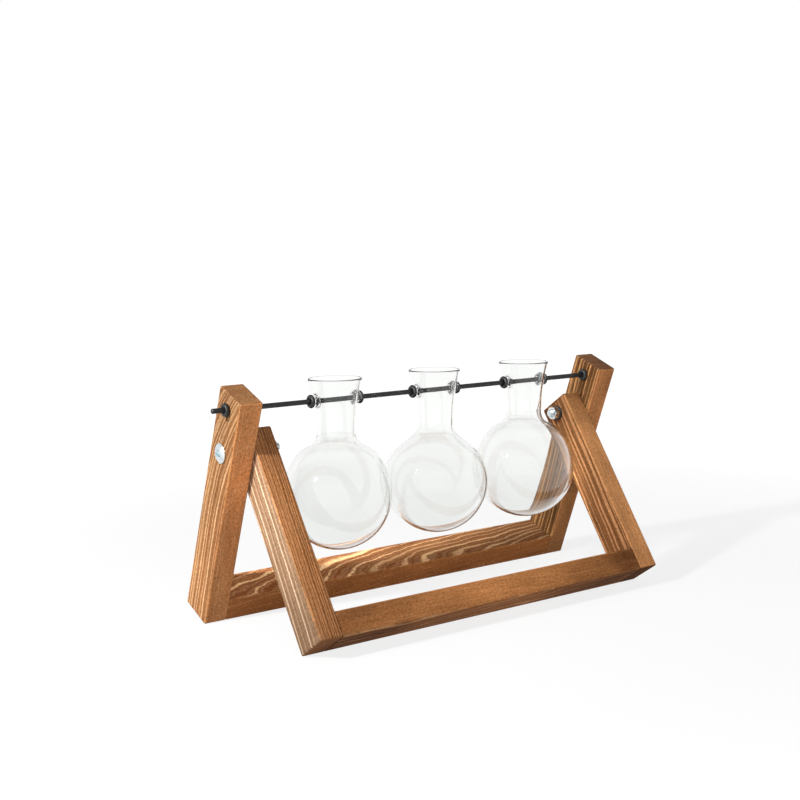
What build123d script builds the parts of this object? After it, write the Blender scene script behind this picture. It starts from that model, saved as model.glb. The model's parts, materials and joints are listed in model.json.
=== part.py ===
from build123d import *
import math
import os

# A folding wooden stand that carries three round glass vases on a thin rod.
# Millimetres. X runs along the rod, Y from front to back, Z up.
# The origin is on the table, under the middle of the stand's outline.

# Glass vases
vase_places = ("left", "middle", "right")
bulb_radius = 33.0
neck_radius = 11.6
lip_radius = 16.3
lip_above_rod = 12.0
bulb_centre_below_rod = 58.0
shoulder_round = 7.0
glass_wall = 1.5
collar_radius = 3.6
collar_proud = 1.8
collar_round = 0.9
collar_root_share = 0.5
bulb_gap = 8.0
row_offset = 1.1

# Timber of the legs and rails
timber_width = 15.0
timber_depth = 25.0
edge_round = 1.2
leg_gap = 0.3
end_gap = 7.7

# Rear frame with the long legs, which lean forwards going up
rear_lean = 21.5
long_leg_below_pivot = 111.5
long_leg_above_pivot = 37.5
rod_below_top = 9.4

# Front frame with the short legs, which lean back going up
front_lean = 34.3
short_leg_above_pivot = 8.4

# Dowels between rails and legs
dowel_radius = 3.0
dowel_in_leg = 10.0
dowel_in_rail = 14.0
dowel_spacing = 11.0
dowel_chamfer = 0.6
dowel_clearance = 0.05
dowel_end_clearance = 0.5

# Pivot bolts, washers and nuts
bolt_radius = 2.5
bolt_clearance = 0.1
bolt_past_nut = 2.6
bolt_tip_chamfer = 0.5
head_radius = 6.0
head_rim = 0.5
head_height = 2.6
recess_length = 5.6
recess_width = 1.2
recess_depth = 1.5
washer_radius = 5.0
washer_thickness = 1.0
washer_clearance = 0.1
nut_across_flats = 8.0
nut_thickness = 4.0
nut_chamfer = 0.45
nut_clearance = 0.05

# Rod and its rubber rings
rod_radius = 1.5
rod_overhang = 10.0
rod_chamfer = 0.4
rod_clearance = 0.08
ring_cord_radius = 1.25
ring_clearance = 0.05
stop_ring_gap = 0.3
vase_ring_gap = 0.5

# One overrun for every cut
overrun = 1.0

# Layout across the stand
vase_pitch = 2 * bulb_radius + bulb_gap
clear_width = len(vase_places) * 2 * bulb_radius + (len(vase_places) - 1) * bulb_gap + 2 * end_gap
short_inner_x = clear_width / 2
short_outer_x = short_inner_x + timber_width
long_inner_x = short_outer_x + leg_gap
long_outer_x = long_inner_x + timber_width
rod_half_length = long_outer_x + rod_overhang

# Level feet: both frames reach the table on a rounded edge
half_depth = timber_depth / 2
core_half_depth = half_depth - edge_round
rear_angle = math.radians(rear_lean)
front_angle = math.radians(front_lean)
foot_core = (long_leg_below_pivot - edge_round) * math.cos(rear_angle) + core_half_depth * math.sin(rear_angle)
pivot_z = foot_core + edge_round
short_leg_core = (foot_core - core_half_depth * math.sin(front_angle)) / math.cos(front_angle)
short_leg_below_pivot = short_leg_core + edge_round
rear_reach = (long_leg_below_pivot - edge_round) * math.sin(rear_angle) + core_half_depth * math.cos(rear_angle)
front_reach = short_leg_core * math.sin(front_angle) + core_half_depth * math.cos(front_angle)
pivot_y = (front_reach - rear_reach) / 2

# The rod passes through the long legs above the pivot
rod_above_pivot = long_leg_above_pivot - rod_below_top
rod_y = pivot_y - rod_above_pivot * math.sin(rear_angle)
rod_z = pivot_z + rod_above_pivot * math.cos(rear_angle)

# Rubber rings
ring_radius = rod_radius + ring_clearance + ring_cord_radius

os.makedirs("parts", exist_ok=True)


def in_rear_frame(shape):
    """Leans a shape drawn about the pivot into the rear frame."""
    return Pos(0, pivot_y, pivot_z) * Rot(rear_lean, 0, 0) * shape


def in_front_frame(shape):
    """Leans a shape drawn about the pivot into the front frame."""
    return Pos(0, pivot_y, pivot_z) * Rot(-front_lean, 0, 0) * shape


def along_x(shape, direction):
    """Turns a shape drawn along +Z to point along +X or -X."""
    return Rot(0, 90 * direction, 0) * shape


def round_bar(radius, start_x, end_x):
    """A round bar or cutter along X between two places."""
    middle = (start_x + end_x) / 2
    return Pos(middle, 0, 0) * along_x(Cylinder(radius, abs(end_x - start_x)), 1)


def timber_leg(inner_x, outer_x, below, above):
    """A leg with softened edges, drawn upright about the pivot."""
    length = below + above
    leg = Box(outer_x - inner_x, timber_depth, length)
    leg = fillet(leg.edges(), edge_round)
    return Pos((inner_x + outer_x) / 2, 0, above - length / 2) * leg


def timber_rail(half_length, below):
    """A rail with softened long edges, drawn upright about the pivot."""
    rail = Box(2 * half_length, timber_depth, timber_width)
    rail = fillet(rail.edges().filter_by(Axis.X), edge_round)
    return Pos(0, 0, timber_width / 2 - below) * rail


def dowel_places(below):
    """The two dowel places of a joint, drawn upright about the pivot."""
    height = timber_width / 2 - below
    return [(0, -dowel_spacing / 2, height), (0, dowel_spacing / 2, height)]


def dowel_holes(joint_x, below):
    """Cutters for the dowel holes on both sides of a joint face."""
    leg_end = joint_x + dowel_in_leg + dowel_end_clearance
    rail_end = joint_x - dowel_in_rail - dowel_end_clearance
    hole = round_bar(dowel_radius + dowel_clearance, rail_end, leg_end)
    return [Pos(*place) * hole for place in dowel_places(below)]


def dowels(joint_x, below):
    """Two dowels across the joint on one side."""
    length = dowel_in_leg + dowel_in_rail
    peg = Cylinder(dowel_radius, length)
    peg = chamfer(peg.edges().filter_by(GeomType.CIRCLE), dowel_chamfer)
    peg = Pos(joint_x + (dowel_in_leg - dowel_in_rail) / 2, 0, 0) * along_x(peg, 1)
    return [Pos(*place) * peg for place in dowel_places(below)]


def on_side(shape, side):
    """Mirrors a shape drawn on the right to the left where side is -1."""
    return shape if side > 0 else mirror(shape, about=Plane.YZ)


def long_leg(side):
    """A long leg with holes for its bolt, the rod and the rail's dowels."""
    leg = timber_leg(long_inner_x, long_outer_x, long_leg_below_pivot, long_leg_above_pivot)
    start_x = long_inner_x - overrun
    end_x = long_outer_x + overrun
    leg -= round_bar(bolt_radius + bolt_clearance, start_x, end_x)
    leg -= Pos(0, 0, rod_above_pivot) * round_bar(rod_radius + rod_clearance, start_x, end_x)
    leg -= dowel_holes(long_inner_x, long_leg_below_pivot)
    return in_rear_frame(on_side(leg, side))


def short_leg(side):
    """A short leg with holes for its bolt and the rail's dowels."""
    leg = timber_leg(short_inner_x, short_outer_x, short_leg_below_pivot, short_leg_above_pivot)
    start_x = short_inner_x - overrun
    end_x = short_outer_x + overrun
    leg -= round_bar(bolt_radius + bolt_clearance, start_x, end_x)
    leg -= dowel_holes(short_inner_x, short_leg_below_pivot)
    return in_front_frame(on_side(leg, side))


def rail_between(joint_x, below):
    """A rail between two legs with dowel holes in both ends."""
    rail = timber_rail(joint_x, below)
    holes = dowel_holes(joint_x, below)
    rail -= holes
    rail -= [on_side(hole, -1) for hole in holes]
    return rail


def dowel_set(joint_x, below):
    """All dowels of one rail as separate solids."""
    pegs = dowels(joint_x, below)
    pegs += [on_side(peg, -1) for peg in dowels(joint_x, below)]
    return Compound(children=pegs)


def truss_head():
    """A low domed bolt head with a cross recess, drawn upwards from its seat."""
    dome_height = head_height - head_rim
    half_chord = head_radius / 2
    dome_radius = (head_radius**2 + dome_height**2) / (2 * dome_height)
    dome_centre_z = head_height - dome_radius
    dome_middle_z = dome_centre_z + math.sqrt(dome_radius**2 - half_chord**2)
    rim = [Line((0, 0, 0), (head_radius, 0, 0)), Line((head_radius, 0, 0), (head_radius, 0, head_rim))]
    dome = ThreePointArc((head_radius, 0, head_rim), (half_chord, 0, dome_middle_z), (0, 0, head_height))
    head = revolve(make_face(rim + [dome, Line((0, 0, head_height), (0, 0, 0))]), Axis.Z)
    slot = Box(recess_length, recess_width, recess_depth + overrun)
    slot = Pos(0, 0, head_height - recess_depth + (recess_depth + overrun) / 2) * slot
    return head - slot - Rot(0, 0, 90) * slot


def pivot_bolt(side):
    """A bolt whose head seats on the long leg's outer face."""
    tip_x = short_inner_x - washer_clearance - washer_thickness - nut_thickness - bolt_past_nut
    shank = Cylinder(bolt_radius, long_outer_x - tip_x)
    shank = chamfer(shank.edges().sort_by(Axis.Z)[0], bolt_tip_chamfer)
    shank = Pos((long_outer_x + tip_x) / 2, 0, 0) * along_x(shank, 1)
    bolt = shank + Pos(long_outer_x, 0, 0) * along_x(truss_head(), 1)
    return in_rear_frame(on_side(bolt, side))


def pivot_washer(side):
    """A flat washer between the short leg's inner face and the nut."""
    outer_x = short_inner_x - washer_clearance
    inner_x = outer_x - washer_thickness
    disc = round_bar(washer_radius, inner_x, outer_x)
    disc -= round_bar(bolt_radius + bolt_clearance, inner_x - overrun, outer_x + overrun)
    return in_rear_frame(on_side(disc, side))


def pivot_nut(side):
    """A hexagon nut with chamfered corners, seated on the washer."""
    corner_radius = nut_across_flats / math.sqrt(3)
    prism = extrude(RegularPolygon(corner_radius, 6), nut_thickness)
    cone = Cylinder(corner_radius, nut_thickness, align=(Align.CENTER, Align.CENTER, Align.MIN))
    cone = chamfer(cone.edges().filter_by(GeomType.CIRCLE), nut_chamfer)
    nut = prism & cone
    nut -= Cylinder(bolt_radius + nut_clearance, 2 * nut_thickness + overrun)
    outer_x = short_inner_x - washer_clearance - washer_thickness
    return in_rear_frame(on_side(Pos(outer_x - nut_thickness, 0, 0) * along_x(nut, 1), side))


def hanging_rod():
    """The straight rod that carries the vases."""
    rod = Cylinder(rod_radius, 2 * rod_half_length)
    rod = chamfer(rod.edges().filter_by(GeomType.CIRCLE), rod_chamfer)
    return Pos(0, rod_y, rod_z) * along_x(rod, 1)


def rubber_ring(x):
    """A rubber ring round the rod at a place along it."""
    return Pos(x, rod_y, rod_z) * along_x(Torus(ring_radius, ring_cord_radius), 1)


def vase_outline(inset, flare_radius):
    """Edges of a vase wall in the XZ plane, from the lip down to the axis.

    The neck flares on one arc, turns into the bulb on a concave arc,
    and the bulb is a sphere. The wall's inner side is the same outline
    drawn further in.
    """
    bulb = bulb_radius - inset
    concave = shoulder_round + inset
    arc_x = neck_radius + shoulder_round
    arc_z = waist_z()
    flare_x = neck_radius + flare_radius
    flare = flare_radius + inset
    lip_angle = math.asin((lip_above_rod - arc_z) / flare_radius)
    towards = math.atan2(arc_z + bulb_centre_below_rod, arc_x)

    def on_flare(angle):
        return (flare_x - flare * math.cos(angle), 0, arc_z + flare * math.sin(angle))

    def on_shoulder(angle):
        return (arc_x - concave * math.cos(angle), 0, arc_z - concave * math.sin(angle))

    def on_bulb(angle):
        return (bulb * math.cos(angle), 0, bulb * math.sin(angle) - bulb_centre_below_rod)

    return [
        ThreePointArc(on_flare(lip_angle), on_flare(lip_angle / 2), on_flare(0)),
        ThreePointArc(on_shoulder(0), on_shoulder(towards / 2), on_shoulder(towards)),
        ThreePointArc(on_bulb(towards), on_bulb((towards - math.pi / 2) / 2), on_bulb(-math.pi / 2)),
    ]


def waist_z():
    """Height of the neck's narrowest ring, measured from the rod."""
    across = neck_radius + shoulder_round
    return math.sqrt((bulb_radius + shoulder_round) ** 2 - across**2) - bulb_centre_below_rod


def neck_flare_radius():
    """Radius of the arc that opens the neck from its waist to the lip."""
    rise = lip_above_rod - waist_z()
    spread = lip_radius - neck_radius
    return (rise**2 + spread**2) / (2 * spread)


def neck_radius_at_rod():
    """Outer radius of the neck level with the rod."""
    flare = neck_flare_radius()
    return neck_radius + flare - math.sqrt(flare**2 - waist_z() ** 2)


def vase_body():
    """The blown wall with a rounded lip, drawn about the rod's centre line."""
    flare = neck_flare_radius()
    outer = vase_outline(0, flare)
    inner = vase_outline(glass_wall, flare)
    lip_angle = math.asin((lip_above_rod - waist_z()) / flare)
    outer_lip = outer[0] @ 0
    inner_lip = inner[0] @ 0
    lip_top = (outer_lip + inner_lip) / 2
    lip_top += Vector(math.sin(lip_angle), 0, math.cos(lip_angle)) * (glass_wall / 2)
    lip = ThreePointArc(outer_lip, lip_top, inner_lip)
    base = Line(outer[2] @ 1, inner[2] @ 1)
    return revolve(make_face(outer + inner + [lip, base]), Axis.Z)


def vase(place_x):
    """A bulb vase whose neck has two collared holes for the rod."""
    body = vase_body()
    outer_neck = neck_radius_at_rod()
    root_x = outer_neck - glass_wall * collar_root_share
    collar_x = outer_neck + collar_proud
    collar = Cylinder(collar_radius, collar_x - root_x)
    collar = fillet(collar.edges().sort_by(Axis.Z)[-1], collar_round)
    collar = Pos((root_x + collar_x) / 2, 0, 0) * along_x(collar, 1)
    body = body + collar + mirror(collar, about=Plane.YZ)
    body -= round_bar(rod_radius + rod_clearance, -collar_x - overrun, collar_x + overrun)
    return Pos(place_x, rod_y, rod_z) * body


def write(shape, node):
    """Writes one named sub-part."""
    export_step(shape, f"parts/{node}.step")


# Frames
for name, side in (("left", -1), ("right", 1)):
    write(long_leg(side), f"long_leg_{name}")
    write(short_leg(side), f"short_leg_{name}")
    write(pivot_bolt(side), f"pivot_bolt_{name}")
    write(pivot_washer(side), f"pivot_washer_{name}")
    write(pivot_nut(side), f"pivot_nut_{name}")

write(in_rear_frame(rail_between(long_inner_x, long_leg_below_pivot)), "rear_rail")
write(in_front_frame(rail_between(short_inner_x, short_leg_below_pivot)), "front_rail")
write(in_rear_frame(dowel_set(long_inner_x, long_leg_below_pivot)), "rear_rail_dowels")
write(in_front_frame(dowel_set(short_inner_x, short_leg_below_pivot)), "front_rail_dowels")

# Rod and the rings that stop it at the long legs
write(hanging_rod(), "hanging_rod")
inner_stop_x = long_inner_x - stop_ring_gap - ring_cord_radius
outer_stop_x = long_outer_x + stop_ring_gap + ring_cord_radius
for name, side in (("left", -1), ("right", 1)):
    write(rubber_ring(side * inner_stop_x), f"rod_stop_ring_{name}_inner")
    write(rubber_ring(side * outer_stop_x), f"rod_stop_ring_{name}_outer")

# Vases, each between two rubber rings
ring_reach = neck_radius_at_rod() + collar_proud + vase_ring_gap + ring_cord_radius
for index, place in enumerate(vase_places):
    place_x = row_offset + (index - (len(vase_places) - 1) / 2) * vase_pitch
    write(vase(place_x), f"vase_{place}")
    write(rubber_ring(place_x - ring_reach), f"vase_{place}_ring_left")
    write(rubber_ring(place_x + ring_reach), f"vase_{place}_ring_right")
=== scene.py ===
"""A folding stand of scorched pine that carries three glass bulb vases on a black rod.

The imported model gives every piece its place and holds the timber, the dowels and the
rod. The glass, the rubber rings and the pivots' hardware are modelled here with their
fine detail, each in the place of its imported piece. Metres, X along the rod, Y from front
to back, Z up.
"""

import json
import logging
import math
from collections.abc import Callable
from dataclasses import dataclass
from enum import Enum
from functools import reduce

import bmesh
import bpy
from mathutils import Euler, Matrix, Vector, noise

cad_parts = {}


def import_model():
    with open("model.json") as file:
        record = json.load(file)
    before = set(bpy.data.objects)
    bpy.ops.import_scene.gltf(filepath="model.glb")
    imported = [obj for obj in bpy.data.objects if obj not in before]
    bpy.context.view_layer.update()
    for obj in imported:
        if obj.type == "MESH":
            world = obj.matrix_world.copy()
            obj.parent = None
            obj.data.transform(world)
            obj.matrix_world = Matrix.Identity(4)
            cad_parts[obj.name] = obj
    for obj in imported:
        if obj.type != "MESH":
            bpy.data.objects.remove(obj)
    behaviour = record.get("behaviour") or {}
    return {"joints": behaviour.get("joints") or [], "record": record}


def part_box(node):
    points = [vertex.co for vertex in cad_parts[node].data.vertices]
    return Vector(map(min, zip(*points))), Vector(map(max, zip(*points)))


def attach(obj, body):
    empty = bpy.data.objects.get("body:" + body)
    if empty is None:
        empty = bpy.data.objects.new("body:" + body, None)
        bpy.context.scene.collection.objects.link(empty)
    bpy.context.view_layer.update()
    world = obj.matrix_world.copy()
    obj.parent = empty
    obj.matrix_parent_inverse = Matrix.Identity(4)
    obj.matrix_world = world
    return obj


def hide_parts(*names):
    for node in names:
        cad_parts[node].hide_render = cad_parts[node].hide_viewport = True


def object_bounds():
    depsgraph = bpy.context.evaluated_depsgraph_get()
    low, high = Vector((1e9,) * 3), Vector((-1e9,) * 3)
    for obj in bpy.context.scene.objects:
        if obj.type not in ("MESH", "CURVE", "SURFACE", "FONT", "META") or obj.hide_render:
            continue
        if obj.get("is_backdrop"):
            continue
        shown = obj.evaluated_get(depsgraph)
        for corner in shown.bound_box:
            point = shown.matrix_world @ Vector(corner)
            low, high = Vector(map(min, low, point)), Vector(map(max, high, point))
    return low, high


log = logging.getLogger("stand")

Mesh = bmesh.types.BMesh
Edge = bmesh.types.BMEdge
Vert = bmesh.types.BMVert
Material = bpy.types.Material
Node = bpy.types.Node
Socket = bpy.types.NodeSocket
Pair = tuple[float, float]
Reach = Callable[[float, float], float]

MM = 0.001
FULL_TURN = 2 * math.pi
MERGE_DISTANCE = 0.01 * MM
ORIGIN = (0, 0, 0)
UP = (0, 0, 1)
WHITE = (1.0, 1.0, 1.0, 1.0)


class Side(Enum):
    """The two ends of the stand, by their direction along X."""

    LEFT = -1
    RIGHT = 1

    @property
    def label(self) -> str:
        """The side's name in piece names."""
        return self.name.lower()


class Place(Enum):
    """A vase's place in the row."""

    LEFT = "left"
    MIDDLE = "middle"
    RIGHT = "right"


class Slot(Enum):
    """The record's material slots of the pieces that are modelled here."""

    GLASS = "clear_glass"
    RUBBER = "rubber"
    ZINC = "zinc"
    WASHER = "washer_black"


def paint(code: str) -> tuple[float, float, float, float]:
    """Turns a screen colour into a linear one.

    Args:
        code: the colour as six hexadecimal digits.

    Returns:
        Linear red, green, blue and an alpha of 1.
    """
    shares = [int(code[i : i + 2], 16) / 255 for i in (0, 2, 4)]
    # The curve and its numbers are those of the sRGB standard.
    red, green, blue = (s / 12.92 if s <= 0.04045 else ((s + 0.055) / 1.055) ** 2.4 for s in shares)
    return red, green, blue, 1.0


class NodeSheet:
    """Adds, feeds and links the nodes of one node tree."""

    # A Mix node has sockets for every kind of value. These are the places of its factor
    # and its two colours, and of their mix.
    mix_inputs = (0, 6, 7)
    mix_output = 2

    def __init__(self, tree: bpy.types.NodeTree) -> None:
        """Starts on an empty tree."""
        self.tree = tree

    def add(self, kind: str, **settings: object) -> Node:
        """Adds a node.

        Args:
            kind: the node's type.
            settings: its settings, by name.

        Returns:
            The node.
        """
        node = self.tree.nodes.new(kind)
        for name, value in settings.items():
            setattr(node, name, value)
        return node

    def feed(self, socket: Socket, source: object) -> None:
        """Feeds an input socket.

        Args:
            socket: the input.
            source: an output socket to link to it, or a plain value to set on it.
        """
        if isinstance(source, Socket):
            self.tree.links.new(source, socket)
        else:
            socket.default_value = source

    def fill(self, node: Node, sources: dict[object, object]) -> Node:
        """Feeds some of a node's inputs.

        Args:
            node: the node.
            sources: an output socket or a plain value for each input, by its name or place.

        Returns:
            The same node.
        """
        for key, source in sources.items():
            self.feed(node.inputs[key], source)
        return node

    def math(self, operation: str, *sources: object) -> Socket:
        """Works out one number from others."""
        node = self.add("ShaderNodeMath", operation=operation)
        return self.fill(node, dict(enumerate(sources))).outputs[0]

    def times(self, *sources: object) -> Socket:
        """Multiplies numbers."""
        return reduce(lambda product, source: self.math("MULTIPLY", product, source), sources)

    def plus(self, first: object, second: object) -> Socket:
        """Adds two numbers."""
        return self.math("ADD", first, second)

    def minus(self, first: object, second: object) -> Socket:
        """Takes one number from another."""
        return self.math("SUBTRACT", first, second)

    def vector(self, operation: str, *sources: object) -> Socket:
        """Works out one vector from others."""
        node = self.add("ShaderNodeVectorMath", operation=operation)
        return self.fill(node, dict(enumerate(sources))).outputs[0]

    def length(self, source: Socket) -> Socket:
        """Measures a vector."""
        node = self.add("ShaderNodeVectorMath", operation="LENGTH")
        return self.fill(node, {0: source}).outputs["Value"]

    def parts(self, source: Socket) -> list[Socket]:
        """Splits a vector into X, Y and Z."""
        return list(self.fill(self.add("ShaderNodeSeparateXYZ"), {0: source}).outputs)

    def step(self, value: object, low: object, high: object) -> Socket:
        """A smooth step from 0 at low to 1 at high."""
        node = self.add("ShaderNodeMapRange", interpolation_type="SMOOTHSTEP")
        return self.fill(node, {"Value": value, "From Min": low, "From Max": high}).outputs[0]

    def span(self, value: object, low: float, high: float) -> Socket:
        """Spreads a value of 0 to 1 over another span."""
        node = self.add("ShaderNodeMapRange")
        return self.fill(node, {"Value": value, "To Min": low, "To Max": high}).outputs[0]

    def stretch(self, vector: Socket, share: float, axis: str = "Z") -> Socket:
        """Draws a pattern out along an axis, by taking a share of its coordinates there."""
        return self.vector("MULTIPLY", vector, [share if name == axis else 1.0 for name in "XYZ"])

    def blend(self, factor: object, first: object, second: object, mode: str = "MIX") -> Socket:
        """Mixes two colours."""
        node = self.add("ShaderNodeMix", data_type="RGBA", blend_type=mode)
        return self.fill(node, dict(zip(self.mix_inputs, (factor, first, second)))).outputs[self.mix_output]

    def group(self, tree: bpy.types.NodeTree, **inputs: object) -> dict[str, Socket]:
        """Places a shared group.

        Args:
            tree: the group.
            inputs: a source or a value for each input, its name in lower case with _ for a space.

        Returns:
            The placed group's outputs by name.
        """
        node = self.add("ShaderNodeGroup", node_tree=tree)
        self.fill(node, {key.replace("_", " ").title(): source for key, source in inputs.items()})
        return {socket.name: socket for socket in node.outputs}

    def seen(self) -> Socket:
        """Finds what the camera sees, straight or by way of gloss or glass.

        Returns:
            A mask of it.
        """
        path = self.add("ShaderNodeLightPath").outputs
        seen = self.math("MAXIMUM", path["Is Camera Ray"], path["Is Glossy Ray"])
        return self.math("MAXIMUM", seen, path["Is Transmission Ray"])


class GroupSheet(NodeSheet):
    """The nodes of a shader group with named inputs and outputs."""

    def __init__(self, name: str, vectors: tuple[str, ...], numbers: tuple[str, ...]) -> None:
        """Makes the group with its inputs.

        Args:
            name: the group's name.
            vectors: the inputs that take a vector.
            numbers: the inputs that take a number.
        """
        super().__init__(bpy.data.node_groups.new(name, "ShaderNodeTree"))
        for labels, kind in ((vectors, "NodeSocketVector"), (numbers, "NodeSocketFloat")):
            for label in labels:
                self.tree.interface.new_socket(label, in_out="INPUT", socket_type=kind)
        self.given = self.add("NodeGroupInput").outputs

    def give(self, results: dict[str, Socket]) -> bpy.types.NodeTree:
        """Gives the group its outputs.

        Args:
            results: what each named output gives.

        Returns:
            The finished group.
        """
        for label in results:
            self.tree.interface.new_socket(label, in_out="OUTPUT", socket_type="NodeSocketFloat")
        self.fill(self.add("NodeGroupOutput"), results)
        return self.tree


@dataclass(frozen=True)
class Grain:
    """A fine smooth pattern, drawn out along an axis by a share of its coordinates there."""

    scale: object
    stretch: float = 1.0
    axis: str = "Z"
    detail: float = 2.0
    rough: float = 0.5

    def draw(self, sheet: NodeSheet, place: Socket, seed: object = 0.0) -> Socket:
        """Draws the pattern.

        Args:
            sheet: the nodes that it joins.
            place: the coordinates that it lies in.
            seed: what sets it apart from others of its kind.

        Returns:
            A noise of about 0 to 1.
        """
        node = sheet.add("ShaderNodeTexNoise", noise_dimensions="4D")
        inputs = {
            "Vector": sheet.stretch(place, self.stretch, self.axis), "W": seed, "Scale": self.scale,
            "Detail": self.detail, "Roughness": self.rough,
        }
        return sheet.fill(node, inputs).outputs[0]


@dataclass(frozen=True)
class AnnualRings:
    """Growth rings round a pith, cut by whatever surface lies in them.

    The pith leans by Tilt, and swings away by Bend above the height Bend From. Shares are
    of a ring, of its pale line or, for the ripple, of the wander.
    """

    wave: Grain = Grain(45.0, stretch=0.45, detail=1.0)
    ripple: Grain = Grain(240.0, stretch=0.5)
    ripple_share: float = 0.2
    spacing_scale: float = 0.55
    spacing_share: float = 1.6
    rise_share: float = 0.4
    fall_shares: Pair = (0.6, 1.5)
    line_tones: Pair = (0.5, 1.1)
    fine_count: float = 4.0
    fine_shares: Pair = (0.1, 0.4)
    fibre: Grain = Grain(1300.0, stretch=0.03, detail=3.0, rough=0.6)

    def distance(self, sheet: GroupSheet) -> Socket:
        """Measures how far a place lies from the leaning, bent pith.

        Args:
            sheet: the group's nodes.

        Returns:
            The distance in metres.
        """
        given = sheet.given
        along = sheet.parts(given["Vector"])[2]
        tilt = sheet.add("ShaderNodeVectorMath", operation="SCALE")
        sheet.fill(tilt, {0: given["Tilt"], "Scale": along})
        above = sheet.math("MAXIMUM", sheet.minus(along, given["Bend From"]), 0.0)
        swing = sheet.add("ShaderNodeCombineXYZ")
        sheet.fill(swing, {"Y": sheet.times(given["Bend"], sheet.times(above, above))})
        offset = given["Vector"]
        for pith in (given["Pith"], tilt.outputs[0], swing.outputs[0]):
            offset = sheet.vector("SUBTRACT", offset, pith)
        return sheet.length(sheet.stretch(offset, 0.0))

    def count(self, sheet: GroupSheet) -> Socket:
        """Counts the rings of uneven width between the pith and a place.

        Args:
            sheet: the group's nodes.

        Returns:
            The count, whose fraction is the place across a ring.
        """
        place, seed = sheet.given["Vector"], sheet.given["Seed"]
        slow = self.wave.draw(sheet, place, seed)
        quick = self.ripple.draw(sheet, place, seed)
        ripple = sheet.times(sheet.minus(quick, 0.5), self.ripple_share)
        sway = sheet.plus(sheet.minus(slow, 0.5), ripple)
        radius = sheet.math("MULTIPLY_ADD", sway, sheet.given["Wander"], self.distance(sheet))
        turns = sheet.math("DIVIDE", radius, sheet.given["Ring Width"])
        spacing = sheet.add("ShaderNodeTexNoise", noise_dimensions="1D")
        sheet.fill(spacing, {"W": sheet.plus(turns, seed), "Scale": self.spacing_scale})
        return sheet.math("MULTIPLY_ADD", spacing.outputs[0], self.spacing_share, turns)

    def build(self) -> bpy.types.NodeTree:
        """Builds the group.

        Returns:
            A group that gives the pale late wood, the place across a ring, a tone for
            each ring, the fine lines between two rings, and the fibres.
        """
        numbers = ("Bend", "Bend From", "Ring Width", "Line Share", "Wander", "Seed")
        sheet = GroupSheet("annual_rings", ("Vector", "Pith", "Tilt"), numbers)
        share, seed = sheet.given["Line Share"], sheet.given["Seed"]
        count = self.count(sheet)
        across = sheet.math("FRACT", count)
        white = sheet.add("ShaderNodeTexWhiteNoise", noise_dimensions="1D")
        sheet.fill(white, {"W": sheet.plus(sheet.math("FLOOR", count), seed)})
        tone = white.outputs["Value"]
        rise = sheet.step(across, 0.0, sheet.times(share, self.rise_share))
        fall = sheet.step(across, *(sheet.times(share, end) for end in self.fall_shares))
        late = sheet.times(rise, sheet.minus(1.0, fall), sheet.span(tone, *self.line_tones))
        fine = sheet.math("FRACT", sheet.times(count, self.fine_count))
        fine = sheet.step(sheet.math("ABSOLUTE", sheet.minus(fine, 0.5)), *self.fine_shares)
        fibre = self.fibre.draw(sheet, sheet.given["Vector"], seed)
        return sheet.give({"Late Wood": late, "Across": across, "Tone": tone, "Fine": fine, "Fibre": fibre})


@dataclass(frozen=True)
class WornEdges:
    """Where a squared piece of timber's arrises are pale, partly from wear and partly as a painted
    highlight, and where its ends are.
    """

    patch: Grain = Grain(150.0, stretch=0.35, detail=3.0)
    patches: Pair = (0.3, 0.62)
    reach_shares: Pair = (0.5, 1.0)
    core_share: float = 0.45
    strengths: Pair = (0.35, 1.0)
    end_fade: Pair = (0.3 * MM, 3 * MM)
    end_depth: Pair = (0.1 * MM, 0.5 * MM)
    side_change: Pair = (-0.2 * MM, 0.3 * MM)

    def build(self) -> bpy.types.NodeTree:
        """Builds the group.

        Returns:
            A group that gives a mask of the long edges, one of the end grain, and one of
            the two broad sides and the ends.
        """
        sheet = GroupSheet("worn_edges", ("Vector", "Half Size"), ("Width", "Seed"))
        given = sheet.given
        inside = sheet.vector("SUBTRACT", given["Half Size"], sheet.vector("ABSOLUTE", given["Vector"]))
        across, through, along = sheet.parts(inside)
        # The patches where an arris is pale: partly wear, partly a painted highlight.
        worn = sheet.step(self.patch.draw(sheet, given["Vector"], given["Seed"]), *self.patches)
        reach = sheet.times(given["Width"], sheet.span(worn, *self.reach_shares))
        arris = sheet.math("MAXIMUM", across, through)
        edge = sheet.minus(1.0, sheet.step(arris, sheet.times(reach, self.core_share), reach))
        edge = sheet.times(edge, sheet.span(worn, *self.strengths), sheet.step(along, *self.end_fade))
        end = sheet.minus(1.0, sheet.step(along, *self.end_depth))
        broad = sheet.step(sheet.minus(through, across), *self.side_change)
        return sheet.give({"Edge": edge, "End Grain": end, "Broad Side": sheet.math("MAXIMUM", broad, end)})


@dataclass(frozen=True)
class HandlingMarks:
    """Faint smears and specks that break up a plain sheen."""

    smears: Pair = (0.35, 0.7)
    smear_detail: float = 3.0
    specks: Pair = (0.66, 0.74)
    speck_detail: float = 1.0
    speck_share: float = 9.0

    def build(self) -> bpy.types.NodeTree:
        """Builds the group.

        Returns:
            A group that gives a smear mask and a speck mask.
        """
        sheet = GroupSheet("handling_marks", ("Vector",), ("Scale", "Seed"))
        place, scale, seed = (sheet.given[name] for name in ("Vector", "Scale", "Seed"))
        smear = Grain(scale, detail=self.smear_detail).draw(sheet, place, seed)
        fine = sheet.times(scale, self.speck_share)
        speck = Grain(fine, detail=self.speck_detail).draw(sheet, place, seed)
        masks = {"Smear": sheet.step(smear, *self.smears), "Speck": sheet.step(speck, *self.specks)}
        return sheet.give(masks)


class Effects:
    """The shared shader groups, each built once."""

    rings: bpy.types.NodeTree
    edges: bpy.types.NodeTree
    marks: bpy.types.NodeTree

    @classmethod
    def build(cls) -> None:
        """Builds the groups."""
        cls.rings = AnnualRings().build()
        cls.edges = WornEdges().build()
        cls.marks = HandlingMarks().build()


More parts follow.
